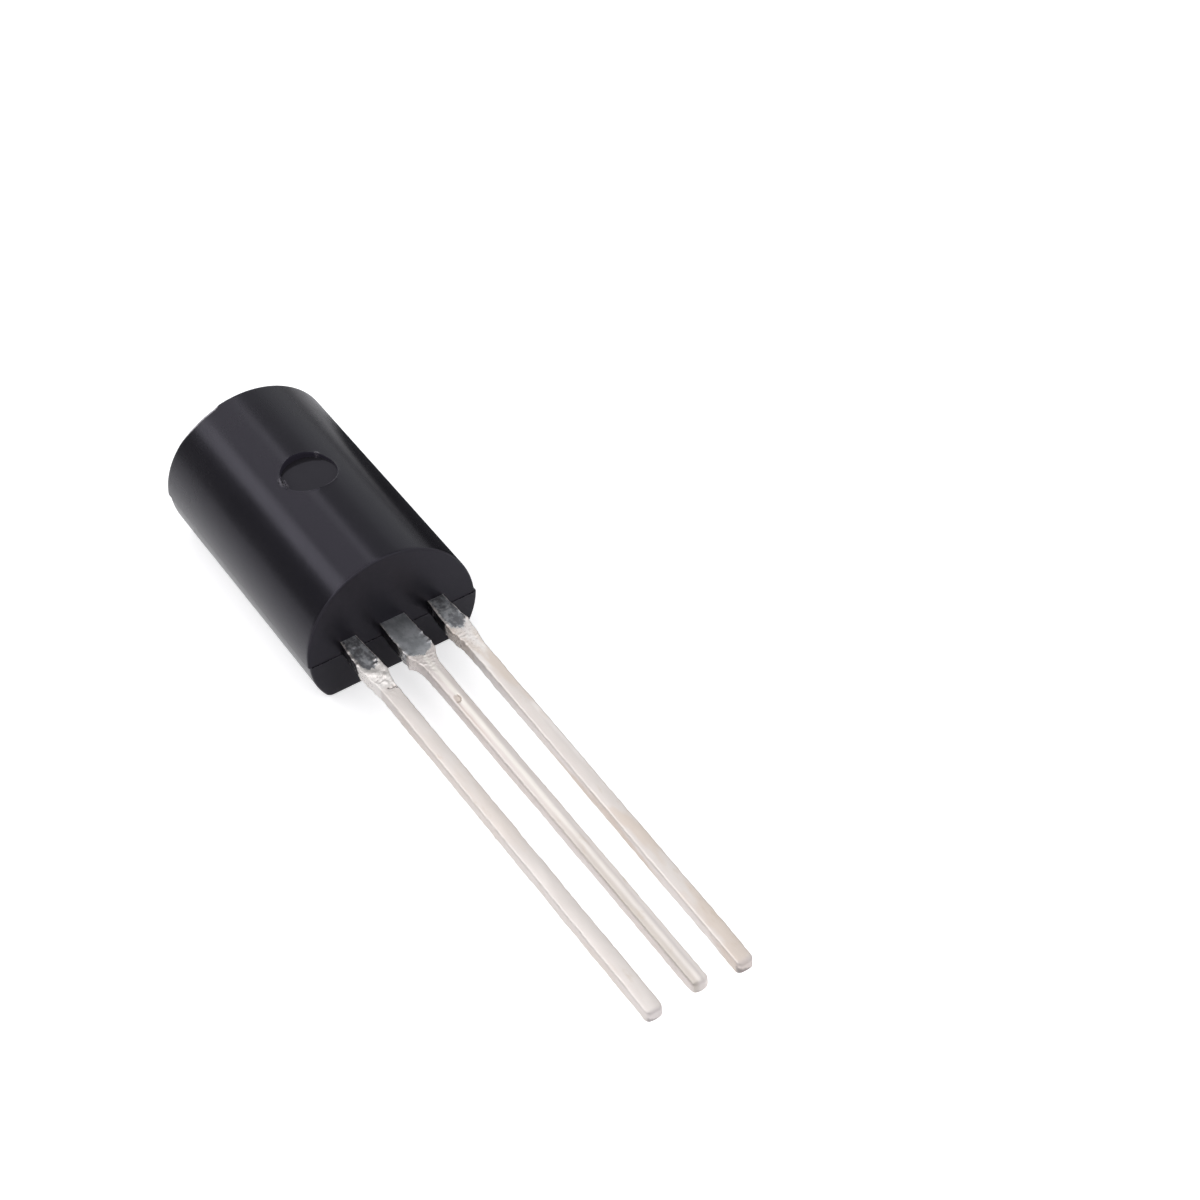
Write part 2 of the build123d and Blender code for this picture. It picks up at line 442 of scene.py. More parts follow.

# %% [markdown]
# The coat is pale and warm, in soft patches with brown flux stains. The middle lead is toned
# duller, with a painted highlight along its crest and painted shade and light on its far
# flanks. The emitter lead is browner, with a painted sheen on its right side and near the body.
# The sides of both get painted light, and near the body the solder is spattered. Each layer is
# laid over the last, as a painter glazes.

# %% The solder coat
stains = tin.grain(tin.stretch(tin.place, (3.5, 1.2, 3.5)), 1.0, 4.0, 0.65)
stains = stains.rise(0.60, 0.74)
warm = tin.grain(tin.stretch(tin.place, (1.4, 0.42, 1.4)), 1.0, 3.0, 0.55)
warm = warm.rise(0.46, 0.60)
# A painted highlight along the middle lead's crest.
painted_crest_highlight = is_middle * (tin.x + 0.02 + (patches - 0.5) * 0.06).near(0.095, 0.02)
painted_crest_highlight *= facing_up.rise(0.7, 0.9) * (1 - reach.rise(5.0, 12.0) * 0.5)
# The rounded corners of the coat further out are coloured paler.
pale_round_corners = dipped * slanting.rise(0.22, 0.45) * reach.rise(2.4, 5.0)
# Painted sheen: the emitter lead's right side and its neck are coloured paler.
painted_right_sheen = is_emitter * across.rise(0.0, 0.12) * reach.rise(9.0, 5.0)
painted_right_sheen *= patches.rise(0.35, 0.6)
painted_neck_sheen = is_emitter * reach.rise(3.8, 2.4) * (0.35 + patches * 0.6)
# Painted shade on the middle lead's left flank and painted light on its right flank, far out.
painted_flank_shading = is_middle * reach.rise(4.5, 11.0) * (1 - on_side)
spatter = dipped * reach.rise(2.6, 1.5) * facing_up.rise(0.3, 0.7)
bright_lumps = is_base * dipped * reach.rise(2.02, 1.90) * 0.8
coat = tin.layered(
    colour(0.760, 0.705, 0.670),
    ((0.865, 0.820, 0.785), patches),
    # Painted light: the side faces of the middle and emitter leads are coloured paler.
    ((0.94, 0.90, 0.88), on_side * (is_middle * 0.35 + is_emitter * 0.55)),
    ((0.97, 0.93, 0.90), painted_right_sheen * 0.8),
    ((0.97, 0.93, 0.90), painted_neck_sheen),
    ((0.760, 0.665, 0.585), warm * (0.25 + is_emitter * 0.45)),
    ((0.730, 0.665, 0.645), is_middle * 0.3),
    ((0.99, 0.95, 0.89), painted_crest_highlight * 0.8),
    ((0.90, 0.85, 0.82), pale_round_corners * 0.5),
    ((0.60, 0.555, 0.50), painted_flank_shading * across.rise(-0.02, -0.13) * 0.75),
    ((0.97, 0.92, 0.88), painted_flank_shading * across.rise(0.05, 0.14) * 0.7),
    ((0.70, 0.61, 0.51), stains * 0.4),
    ((0.97, 0.94, 0.91), tin.larger(spatter * grit.rise(0.50, 0.62) * 0.6, bright_lumps)),
    ((0.46, 0.38, 0.35), spatter * grit.rise(0.42, 0.34) * 0.45),
    ((0.10, 0.08, 0.08), crack * 0.85),
    ((0.58, 0.49, 0.43), nick_floor * 0.65 + nick_trail * 0.5),
    ((0.27, 0.18, 0.13), nick_rim * 0.6),
)
print("tin nodes with the coat:", len(tin.tree.nodes))

# %% [markdown]
# Root and coat meet at the dip line, with a bright edge of solder between them. The stubs of
# the sheared bar are speckled, and the cut tips are grey, torn in their lower half. A metal's
# colour is the colour of its mirror image, so all of this goes to Base Color.

# %% Finish: tinned leads
streaks = tin.grain(tin.stretch(tin.place, (16.0, 0.5, 16.0)), 1.0, 4.0, 0.6)
pits = tin.grain(tin.place, 16.0, 3.0, 0.6)
stub_side = on_side * reach.rise(0.82, 1.00) * reach.rise(1.75, 1.50)
at_tip = tin.y.rise(TIP + 0.16, TIP + 0.05)
torn = at_tip * (tin.z + across * 0.5 + (pits - 0.5) * 0.2).rise(1.54, 1.44)
metal = tin.layered(
    tin.blend(root, coat, dipped),
    ((0.98, 0.96, 0.93), solder_edge * 0.7),
    ((0.95, 0.91, 0.87), stub_side * grit.rise(0.47, 0.58) * 0.8),
    ((0.22, 0.18, 0.18), stub_side * grit.rise(0.45, 0.36) * 0.7),
    ((0.66, 0.61, 0.63), at_tip * 0.35),
    ((0.16, 0.14, 0.14), torn * 0.6),
)
dullness = 0.44 + dipped * 0.12 + (streaks - 0.5) * 0.12 + stains * 0.06 - burr_and_glint * 0.1
lumpy = streaks * 0.5 + pits * 0.3 + fine_ripple * (0.3 + bare * 0.2 + lip * 0.8)
tin.set(Base_Color=metal, Metallic=1.0, Roughness=dullness)
tin.bump(lumpy + dipped * 0.6 + grit * spatter * 1.2, 5.0)
print("tin nodes:", len(tin.tree.nodes))

# %% [markdown]
# Three finishes are never seen with the body closed, but a part that is cut open should tell
# the truth: grey die-attach solder with small voids, the die's dark polished silicon with two
# bond pads, and gold wires. The pads are squares drawn by comparing the place.

# %% Finishes: solder, silicon and gold inside
DIE_MIDDLE = 0.45
DIE_TOP = 2.03
PAD_OFFSET = 0.24
PAD_HALF = 0.13

solder = Finish("die_solder")
voids = solder.grain(solder.place, 9.0, 3.0, 0.6).rise(0.62, 0.70)
solder.set(Base_Color=solder.blend(colour(0.48, 0.48, 0.50), colour(0.22, 0.21, 0.21), voids),
           Metallic=1.0, Roughness=0.38 + solder.grain(solder.place, 25.0) * 0.2)
solder.bump(solder.grain(solder.place, 14.0, 3.0, 0.6), 4.0)

silicon = Finish("silicon_die")


def pad_at(x):
    """1 inside a bond pad's square, 0 outside."""
    y = DIE_MIDDLE - PAD_OFFSET
    aside = silicon.larger(abs(silicon.x - x), abs(silicon.y - y))
    return aside.rise(PAD_HALF + 0.005, PAD_HALF - 0.005)


pads = pad_at(PAD_OFFSET) + pad_at(-PAD_OFFSET)
pads *= silicon.z.rise(DIE_TOP - 0.01, DIE_TOP - 0.002)
tint = silicon.grain(silicon.place, 6.0, 2.0, 0.5)
silicon_face = silicon.blend(colour(0.055, 0.060, 0.085), colour(0.085, 0.075, 0.110), tint)
silicon.set(Base_Color=silicon.blend(silicon_face, colour(0.78, 0.78, 0.76), pads),
            Metallic=0.55 + pads * 0.45, Roughness=0.16 + tint * 0.10 + pads * 0.2)
silicon.bump(silicon.grain(silicon.place, 60.0, 2.0, 0.6), 0.6)

gold = Finish("gold_wire")
drawn = gold.grain(gold.stretch(gold.place, (60.0, 60.0, 20.0)), 1.0, 2.0, 0.5)
gold.set(Base_Color=gold.blend(colour(0.93, 0.68, 0.28), colour(0.98, 0.78, 0.42), drawn),
         Metallic=1.0, Roughness=0.18 + drawn * 0.14)
gold.bump(drawn, 0.8)

INSIDE = {"die_attach": (solder, "solder"), "transistor_die": (silicon, "silicon"),
          "emitter_bond_wire": (gold, "bond_wire"), "base_bond_wire": (gold, "bond_wire")}
for name, (finish, slot) in INSIDE.items():
    frame["nodes"][name].data.materials.clear()
    frame["nodes"][name].data.materials.append(finish.material)
print("finished inside:", ", ".join(INSIDE))

# %% [markdown]
# The body was moulded between two halves of a mould that do not quite meet, so it is made the
# same way: two shells, the upper a little to the left. Each is an outline, half a circle or
# the flat side with its round corners, carried from end to end. The ends lean inwards, the
# draft that lets a moulding leave its mould, and their rims are slightly round. A plain
# extrusion with a bevel would give neither the draft nor the mismatch at the parting line.

# %% Sizes and outlines of the two body halves
BODY_RADIUS = 2.425
HALF_LENGTH = 3.95
RIM_RADIUS = 0.06
FLAT_CORNER = 0.25
ROUND_DRAFT = tan(radians(3.0))
FLAT_DRAFT = tan(radians(5.0))
SHIFT_ACROSS = -0.04
SHIFT_ALONG = 0.02
BACK_STEPS, SIDE_STEPS, CORNER_STEPS, FACE_STEPS = 96, 18, 10, 14


def arc(x, z, radius, start, end, steps):
    """Points (x, z) with their outward directions, from one angle to another in degrees."""
    turned_by = [radians(start + (end - start) * k / steps) for k in range(steps + 1)]
    return [((x + radius * cos(a), z + radius * sin(a)), (cos(a), sin(a)))
            for a in turned_by]


def flat_outline():
    """From the right parting line down round the flat face to the left one."""
    drop = PARTING - FLAT_CORNER
    corner_x = sqrt((BODY_RADIUS - FLAT_CORNER) ** 2 - drop ** 2)
    meets = -degrees(atan2(drop, corner_x))
    half = arc(0, PARTING, BODY_RADIUS, 0, meets, SIDE_STEPS)
    half += arc(corner_x, FLAT_CORNER, FLAT_CORNER, meets, -90, CORNER_STEPS)[1:]
    half += [((corner_x * (1 - k / FACE_STEPS), 0.0), (0.0, -1.0))
             for k in range(1, FACE_STEPS + 1)]
    return half + [((-x, z), (-nx, nz)) for (x, z), (nx, nz) in reversed(half[:-1])]


round_outline = arc(SHIFT_ACROSS, PARTING, BODY_RADIUS, 0, 180, BACK_STEPS)
print("outline points:", len(round_outline), "round,", len(flat_outline()), "flat")

# %% [markdown]
# For each point of the outline, one function walks along the body: a quarter turn round the
# front rim, straight along the side, a quarter turn round the rear rim. Strips of quads close
# the ends and the parting face, so each half is a closed solid. Cells that another mesh will
# fill can be left out.

# %% Carry an outline from end to end
RIM_STEPS = 5
LONG_STEPS = 100
ROW = 2 * RIM_STEPS + LONG_STEPS + 1


def no_wear(x, z):
    return 0.0


def carry(outline, draft, shift, open_cells=(), rear_wear=no_wear):
    """Points and faces of one mould half. Point (i, j) is at index i * ROW + j."""
    points = []
    for (x, z), (nx, nz) in outline:
        for j in range(ROW):
            side = -1 if 2 * j < ROW else 1
            from_end = min(j, ROW - 1 - j)
            radius = RIM_RADIUS + (rear_wear(x, z) if side > 0 else 0.0)
            turn = pi / 2 * min(1.0, from_end / RIM_STEPS)
            inset = radius * (1 - sin(turn))
            px, pz = x - nx * inset, z - nz * inset
            rim_y = HALF_LENGTH - abs(pz - PARTING) * draft - radius * (1 - cos(turn))
            to_middle = max(0, from_end - RIM_STEPS) / (LONG_STEPS / 2)
            points.append((px, side * rim_y * (1 - to_middle) + shift, pz))
    last = len(outline) - 1
    faces = []
    for i in range(last):
        for j in range(ROW - 1):
            if (i, j) not in open_cells:
                k = i * ROW + j
                faces.append((k, k + ROW, k + ROW + 1, k + 1))
    for i in range(last // 2):
        for j in (0, ROW - 1):
            across_end = [i, i + 1, last - i - 1, last - i]
            faces.append(tuple(dict.fromkeys(row * ROW + j for row in across_end)))
    for j in range(ROW - 1):
        faces.append((j, j + 1, last * ROW + j + 1, last * ROW + j))
    return points, faces


flat_points, flat_faces = carry(flat_outline(), FLAT_DRAFT, 0.0)
print("flat half:", len(flat_points), "points,", len(flat_faces), "faces")

# %% [markdown]
# The round half has a shallow round mark in its back, where the pin that pushes parts out of
# the mould stood. Cutting it with a boolean leaves slivers that spoil a glossy surface, so a
# square of cells is left out and filled in. The rear rim was knocked once, and there it is
# carried with a larger radius.

# %% The round half, open where the mark goes
OPEN_CELLS = 14
WEAR = 0.068


def rear_wear(x, z):
    """How much more the rear rim is rounded on the stretch where it was knocked."""
    turned = degrees(atan2(x - SHIFT_ACROSS, z - PARTING))
    stretch = min(1.0, max(0.0, (turned + 50) / 14)) * min(1.0, max(0.0, (-15 - turned) / 2.5))
    return WEAR * stretch * (1 + 0.5 * noise.noise(Vector((turned * 0.35, 1, 2))))


middle_i, middle_j = BACK_STEPS // 2, ROW // 2
first_i, last_i = middle_i - OPEN_CELLS, middle_i + OPEN_CELLS
first_j, last_j = middle_j - OPEN_CELLS, middle_j + OPEN_CELLS
left_out = {(i, j) for i in range(first_i, last_i) for j in range(first_j, last_j)}
round_points, round_faces = carry(round_outline, ROUND_DRAFT, SHIFT_ALONG, left_out, rear_wear)
print("cells left out:", len(left_out))

# %% [markdown]
# The patch is made of rings, each with as many points as the edge of the square: from that
# edge in to the mark's rim, down its wall and over its floor. One rule for each stretch says
# where a point goes. The rim is ragged, with resin standing up where the pin scraped it.

# %% Rules for the points of the mark
TEARS = [(186, 9, 0.022), (171, 5, 0.024), (160, 5, 0.018), (46, 6, 0.012), (-8, 14, 0.014),
         (-100, 9, 0.026), (-78, 10, 0.016), (-50, 15, 0.020), (-28, 9, 0.016)]
TEAR_WIDTH = 0.045


def back_height(x):
    return PARTING + sqrt(BODY_RADIUS ** 2 - (x - SHIFT_ACROSS) ** 2)


def mark_floor(x, y):
    return MARK_FLOOR + 0.004 * noise.noise(Vector((x * 2, y * 2, 5)))


def tear(angle):
    """How far the torn rim stands up at an angle in degrees."""
    lifted = 0.0
    for place, spread, height in TEARS:
        off = (angle - place + 180) % 360 - 180
        uneven = 0.6 + 0.6 * noise.noise(Vector((angle * 0.45, 3, place)))
        lifted += height * exp(-((off / spread) ** 2)) * uneven
    return lifted


def outside_rim(x, y, z, share):
    """On the back, a share of the way from the rim out to a point."""
    angle = atan2(y - MARK_Y, x - MARK_X)
    c, s = cos(angle), sin(angle)
    rim = MARK_RADIUS * (1 + 0.008 * noise.noise(Vector((c * 6, s * 6, 1))))
    rim += 0.012 * noise.noise(Vector((c * 26, s * 26, 4)))
    px = (MARK_X + c * rim) * (1 - share) + x * share
    py = (MARK_Y + s * rim) * (1 - share) + y * share
    out = hypot(px - MARK_X, py - MARK_Y) - rim
    lift = tear(degrees(angle)) * exp(-((out / TEAR_WIDTH) ** 2))
    return px, py, back_height(px) + lift


def towards_middle(x, y, keep):
    return MARK_X + (x - MARK_X) * keep, MARK_Y + (y - MARK_Y) * keep


def down_wall(x, y, z, inward, depth):
    """A little in from the rim, a share of the way down to the floor."""
    px, py = towards_middle(x, y, 1 - inward / hypot(x - MARK_X, y - MARK_Y))
    return px, py, z + (mark_floor(px, py) - z) * depth


def on_floor(x, y, z, share):
    px, py = towards_middle(x, y, share)
    return px, py, mark_floor(px, py)


print("torn bits round the rim:", len(TEARS))

# %% [markdown]
# Now the rings are set and joined. Each starts from the points of an earlier ring: the edge
# of the square outside the rim, the rim itself inside. Rings lie closer together near the
# rim, where the shape turns fastest.

# %% Fill the square with rings
RINGS_OUT = 12
WALL = [(0.008, 0.12), (0.012, 0.40), (0.014, 0.70), (0.018, 1.0)]
FLOOR_SHARES = (0.9, 0.78, 0.64, 0.5, 0.36, 0.22, 0.1)

edge = [(i, first_j) for i in range(first_i, last_i)]
edge += [(last_i, j) for j in range(first_j, last_j)]
edge += [(i, last_j) for i in range(last_i, first_i, -1)]
edge += [(first_i, j) for j in range(last_j, first_j, -1)]
rings = [[i * ROW + j for i, j in edge]]


def add_ring(start, rule, *how):
    """A new ring with one point for each point of the start, where the rule puts it."""
    ring = []
    for index in start:
        round_points.append(rule(*round_points[index], *how))
        ring.append(len(round_points) - 1)
    rings.append(ring)


for k in range(RINGS_OUT - 1, -1, -1):
    add_ring(rings[0], outside_rim, (k / RINGS_OUT) ** 1.7)
rim_ring = rings[-1]
for inward, depth in WALL:
    add_ring(rim_ring, down_wall, inward, depth)
for share in FLOOR_SHARES:
    add_ring(rim_ring, on_floor, share)
for outer, inner in zip(rings, rings[1:]):
    for k in range(len(outer)):
        n = (k + 1) % len(outer)
        round_faces.append((outer[k], outer[n], inner[n], inner[k]))
round_faces.append(tuple(rings[-1]))
print("round half:", len(round_points), "points, rim of", len(rim_ring))

# %% [markdown]
# Torn crumbs of resin cling to the rim of the mark. A crumb is a small ball of a few facets,
# stretched and pushed about by noise, and sunk a little into what it clings to.

# %% Crumbs on the mark's rim
CRUMBS = [(159, 0.74, 0.030), (165, 0.69, 0.034), (172, 0.64, 0.030), (181, 0.65, 0.036),
          (188, 0.70, 0.044), (180, 0.755, 0.030), (171, 0.81, 0.024), (194, 0.77, 0.026),
          (46, 0.745, 0.014), (40, 0.740, 0.010), (-101, 0.77, 0.026), (-94, 0.75, 0.018)]
CRUMB_LEVELS = (-60, -20, 20, 60)
CRUMB_SIDES = 6


def bands(points, around):
    """Faces between each ring of points and the next, and one over each end."""
    faces = []
    for first in range(0, len(points) - around, around):
        for k in range(around):
            a, b = first + k, first + (k + 1) % around
            faces.append((a, b, b + around, a + around))
    ends = (range(around), range(len(points) - around, len(points)))
    return faces + [tuple(end) for end in ends]


def crumb(angle, away, size, seed):
    """A crumb at an angle round the mark and so far away from its middle."""
    c, s = cos(radians(angle)), sin(radians(angle))
    x, y = MARK_X + away * c, MARK_Y + away * s
    z = mark_floor(x, y) if away < MARK_RADIUS - 0.03 else back_height(x)
    points = []
    for level in CRUMB_LEVELS:
        level_radius = cos(radians(level))
        for k in range(CRUMB_SIDES):
            turn = radians(360 / CRUMB_SIDES * k + level)
            way = Vector((cos(turn) * level_radius * 1.5, sin(turn) * level_radius,
                          sin(radians(level)) * 0.8))
            way *= size * (1 + 0.5 * noise.noise(way * 2.3 + Vector((seed, 0, 0))))
            points.append((x + way.x * s + way.y * c, y - way.x * c + way.y * s, z + way.z))
    return points, bands(points, CRUMB_SIDES)


crumbs = [crumb(*found, seed) for seed, found in enumerate(CRUMBS)]
print("crumbs:", len(crumbs))

# %% [markdown]
# The two shells and the crumbs become one mesh. The flat half is first moved a little by
# smooth noise, because a perfect plane looks drawn. Vector noise starts from the clock unless
# it is given a seed, so it gets one and is the same in every run. The new piece takes the
# place of the CAD body, which is hidden but stays in the file. The new piece takes the place
# of the CAD body, which stays in the file only for collisions.

# %% Make the body piece
FLAT_UNEVEN = 0.004
NOISE_SEED = 3
noise.seed_set(NOISE_SEED)


def roughen(points, amount, pitch):
    """Points moved by smooth noise, the same way each time, but not below the floor."""
    moved = [Vector(p) + noise.noise_vector(Vector(p) * pitch) * amount for p in points]
    return [(x, y, max(0.0, z)) for x, y, z in moved]


def joined(*parts):
    """Several lists of points and faces as one."""
    points, faces = [], []
    for more_points, more_faces in parts:
        faces += [tuple(k + len(points) for k in face) for face in more_faces]
        points += more_points
    return points, faces


def make_piece(name, points, faces, finish, node, sharp=30):
    """A closed mesh in millimetres becomes a piece that stands for a CAD node."""
    mesh = bpy.data.meshes.new(name)
    mesh.from_pydata([Vector(p) * MM for p in points], [], faces)
    work = bmesh.new()
    work.from_mesh(mesh)
    bmesh.ops.remove_doubles(work, verts=work.verts, dist=1e-9)
    bmesh.ops.recalc_face_normals(work, faces=work.faces)
    work.to_mesh(mesh)
    work.free()
    mesh.shade_smooth()
    mesh.set_sharp_from_angle(angle=radians(sharp))
    mesh.materials.append(finish.material)
    piece = bpy.data.objects.new(name, mesh)
    bpy.context.scene.collection.objects.link(piece)
    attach(piece, "root")
    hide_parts(node)
    return piece


body_points, body_faces = joined((roughen(flat_points, FLAT_UNEVEN, 0.9), flat_faces),
                                 (round_points, round_faces), *crumbs)
body = make_piece("moulded_body", body_points, body_faces, epoxy, "epoxy_body")
print("body:", len(body.data.polygons), "faces")

# %% [markdown]
# Each lead outside the body is a loft: closed rings of points set along it, joined into a
# skin. A ring is a rectangle with round corners and slightly crowned faces. Sweeping it along
# a curve would make every ring alike, and on the real lead none is.

# %% The ring of a lead
SLENDER = 0.22
HALF_THICK = 0.20
TURN_STEPS = 4
WIDE_STEPS = 14
THIN_STEPS = 8
SIDE_CROWN = 0.4


def section(left, right, tall, corner, crown):
    """One ring from the right side anticlockwise: points (x, z) and their outward ways."""
    ring = []
    centres = [(right - corner, tall - corner), (corner - left, tall - corner),
               (corner - left, corner - tall), (right - corner, corner - tall)]
    for number, (cx, cz) in enumerate(centres):
        for k in range(TURN_STEPS + 1):
            a = radians(90 * (number + k / TURN_STEPS))
            c, s = cos(a), sin(a)
            ring.append([cx + corner * c, cz + corner * s, c, s])
        nx, nz = centres[(number + 1) % 4]
        out_x, out_z = ring[-1][2:]
        on_thin_side = number % 2
        steps = THIN_STEPS if on_thin_side else WIDE_STEPS
        for k in range(1, steps):
            share = k / steps
            bulge = crown * (1 - (2 * share - 1) ** 2) * (SIDE_CROWN if on_thin_side else 1.0)
            ring.append([cx + (nx - cx) * share + out_x * (corner + bulge),
                         cz + (nz - cz) * share + out_z * (corner + bulge), out_x, out_z])
    return ring


print("points in a ring:", len(section(0.2, 0.2, 0.2, 0.05, 0.0)))

# %% [markdown]
# At the root a lead is sharp and flat, as sheared. It widens a little to the stub of the bar
# that held the leads in a row, and past the stub it narrows fast.

# %% Widths along a lead
STUB_START, STUB_END = 1.00, 1.42
STUB_PROUD = 0.015
NECK = 0.62
MIDDLE_LEAD = dict(root=0.34, dam=0.375, lean=0.0, dip=1.46, pull_left=0.0,
                   corner=0.085, crown=0.016, seed=11)
EMITTER_LEAD = dict(root=0.21, dam=0.28, lean=-0.13, dip=1.18, pull_left=0.16,
                    corner=0.055, crown=0.006, seed=23)
BASE_LEAD = dict(root=0.21, dam=0.28, lean=0.0, dip=1.22, pull_left=0.0,
                 corner=0.06, crown=0.011, seed=37)


def ease(value, low, high):
    t = min(1.0, max(0.0, (value - low) / (high - low)))
    return t * t * (3 - 2 * t)


def half_width(lead, reach, side):
    """Half the lead's width so far from the body, on its left (-1) or right (1) side."""
    if side < 0:
        reach += lead["pull_left"] * ease(reach, 0.9, 1.3)
        if reach < STUB_END:
            return half_width(lead, reach, 1) + 0.04 * (1 - ease(reach, 0.5, 1.2))
    if reach <= STUB_START:
        return lead["root"] + (lead["dam"] - lead["root"]) * max(0.0, reach)
    if reach <= STUB_END:
        return lead["dam"] + STUB_PROUD * ease(reach, STUB_START, STUB_START + 0.04)
    fall = min(1.0, (reach - STUB_END) / NECK)
    return SLENDER + (lead["dam"] + STUB_PROUD - SLENDER) * (1 - fall) ** 2


def stations(length):
    """Distances from the body at which rings are set, close together where detail is."""
    found = [-0.35]
    while found[-1] < length - 0.16:
        here = found[-1]
        step = 0.05 if here < 0.7 else 0.022 if here < 2.2 else 0.045 if here < 3.6 else 0.09
        found.append(here + step)
    return found


print("rings on a lead:", len(stations(END_FACE - TIP)))

# %% [markdown]
# Where the solder begins, corners and crown grow, because molten solder pulls itself round,
# and noise makes the edges uneven. The skin is then dressed with what makes it this lead:
# lumps at the sheared bar, a nick, a crack. Each is a soft bulge or dent at a place on the
# lead, in millimetres from its middle line and from the body. The cut tip is round in plan.

# %% Build the skin of one lead
TIP_ROUND = 0.17
TIP_TURNS = (0, 18, 36, 54, 70, 82, 90)
ROOT_CORNER, DIPPED_CORNER = 0.012, 0.040
MIDDLE_Z = (LEAD_LOW + LEAD_TOP) / 2


def bumpy(x, reach, z, across_scale, along_scale, seed):
    """Smooth noise on a lead, with one scale across it and one along it."""
    return noise.noise(Vector((x * across_scale, reach * along_scale, z * across_scale + seed)))


def lead_skin(lead, middle_x, length, lumps):
    points = []
    seed = lead["seed"]
    reaches = stations(length)
    tip_rings = [length - TIP_ROUND * (1 - sin(radians(a))) for a in TIP_TURNS]
    for number, reach in enumerate(reaches + tip_rings):
        tip_turn = max(0.0, (reach - (length - TIP_ROUND)) / TIP_ROUND)
        rounding = 1 - sqrt(max(0.0, 1 - tip_turn ** 2))
        dipped_by = ease(reach, lead["dip"] - 0.05, lead["dip"] + 0.12)
        pillow = ease(reach, 1.6, 3.2)
        corner = ROOT_CORNER + (DIPPED_CORNER - ROOT_CORNER) * dipped_by
        corner += (lead["corner"] - DIPPED_CORNER) * pillow
        left, right = (half_width(lead, reach, side) - rounding * 0.12 for side in (-1, 1))
        ring = section(left, right, HALF_THICK - rounding * 0.11, corner, lead["crown"] * pillow)
        centre = middle_x + lead["lean"] * (max(0.0, reach) / length) ** 1.2
        near_stub = ease(reach, 0.75, 1.05) * (1 - ease(reach, 1.5, 2.1))
        gritty = dipped_by * (1 - ease(reach, 1.7, 2.8))
        for x, z, out_x, out_z in ring:
            at_edge = max(abs(out_x), ease(abs(x) / right, 0.88, 1.0))
            push = bumpy(x, reach, z, 2.2, 1.1, seed) * 0.010 * (0.2 + 0.8 * dipped_by)
            ragged = 0.15 + at_edge * (0.7 + 1.1 * near_stub)
            push += bumpy(x, reach, z, 9, 7, seed) * 0.014 * ragged
            push += bumpy(x, reach, z, 15, 15, seed) * 0.012 * gritty
            for lump_x, lump_reach, lump_z, size, height in lumps:
                away = ((x - lump_x) / size) ** 2 + ((reach - lump_reach) / size) ** 2
                away += ((z + MIDDLE_Z - lump_z) / size) ** 2
                push += height * exp(-away)
            if number >= len(reaches):
                push *= 1 - tip_turn * 0.7
            points.append((centre + x + out_x * push, END_FACE - reach,
                           MIDDLE_Z + z + out_z * push))
    return points, bands(points, len(ring))


LUMPS = {
    "middle": [
        (-0.38, 1.16, 1.74, 0.06, 0.026), (0.38, 0.80, 1.78, 0.04, 0.020),
        (0.37, 1.20, 1.80, 0.05, 0.018), (-0.30, 1.38, 1.76, 0.07, 0.020),
        (-0.03, 3.20, 1.82, 0.06, -0.020), (-0.10, 3.34, 1.82, 0.08, -0.024),
        (0.06, 3.30, 1.82, 0.05, 0.012), (-0.12, 3.12, 1.82, 0.06, 0.010),
    ],
    "emitter": [
        (-0.26, 0.98, 1.74, 0.06, 0.034), (-0.24, 1.16, 1.70, 0.07, 0.036),
        (-0.22, 1.38, 1.72, 0.06, 0.026), (0.24, 1.05, 1.80, 0.05, 0.024),
        (-0.20, 0.80, 1.78, 0.04, 0.014),
    ],
    "base": [
        (-0.22, 0.34, 1.78, 0.05, 0.022), (-0.24, 0.62, 1.76, 0.05, 0.024),
        (-0.26, 0.90, 1.74, 0.05, 0.026), (-0.06, 0.30, 1.80, 0.05, 0.020),
        (0.22, 0.98, 1.80, 0.06, 0.034), (0.14, 1.12, 1.80, 0.05, 0.030),
        (-0.06, 1.42, 1.80, 0.10, 0.040), (0.12, 1.60, 1.80, 0.09, 0.038),
        (-0.20, 1.30, 1.76, 0.09, 0.034), (0.02, 1.78, 1.80, 0.06, 0.026),
        (0.14, 1.98, 1.80, 0.05, -0.050), (0.03, 2.02, 1.82, 0.04, -0.035),
    ],
}
print("lumps and nicks:", sum(len(found) for found in LUMPS.values()))

# %% [markdown]
# Inside the body each lead widens: the middle one into the paddle that carries the die, with
# a hole that the resin locks into, the outer two into small posts for the bond wires. They
# are stamped plates, and Blender's filled flat curve is made for that: an outline, a hole,
# a thickness and a small bevel for the rolled-over edge.

# %% Stamped plates inside the body
ROLLED_EDGE = 0.02


def rounded_rectangle(x, y, wide, long, corner, steps=6):
    found = []
    for cx, cy, start in ((1, 1, 0), (-1, 1, 90), (-1, -1, 180), (1, -1, 270)):
        for k in range(steps + 1):
            a = radians(start + 90 * k / steps)
            found.append((x + cx * (wide / 2 - corner) + corner * cos(a),
                          y + cy * (long / 2 - corner) + corner * sin(a)))
    return found


def circle(x, y, radius, steps=40):
    turns = [2 * pi * k / steps for k in range(steps)]
    return [(x + radius * cos(a), y + radius * sin(a)) for a in turns]


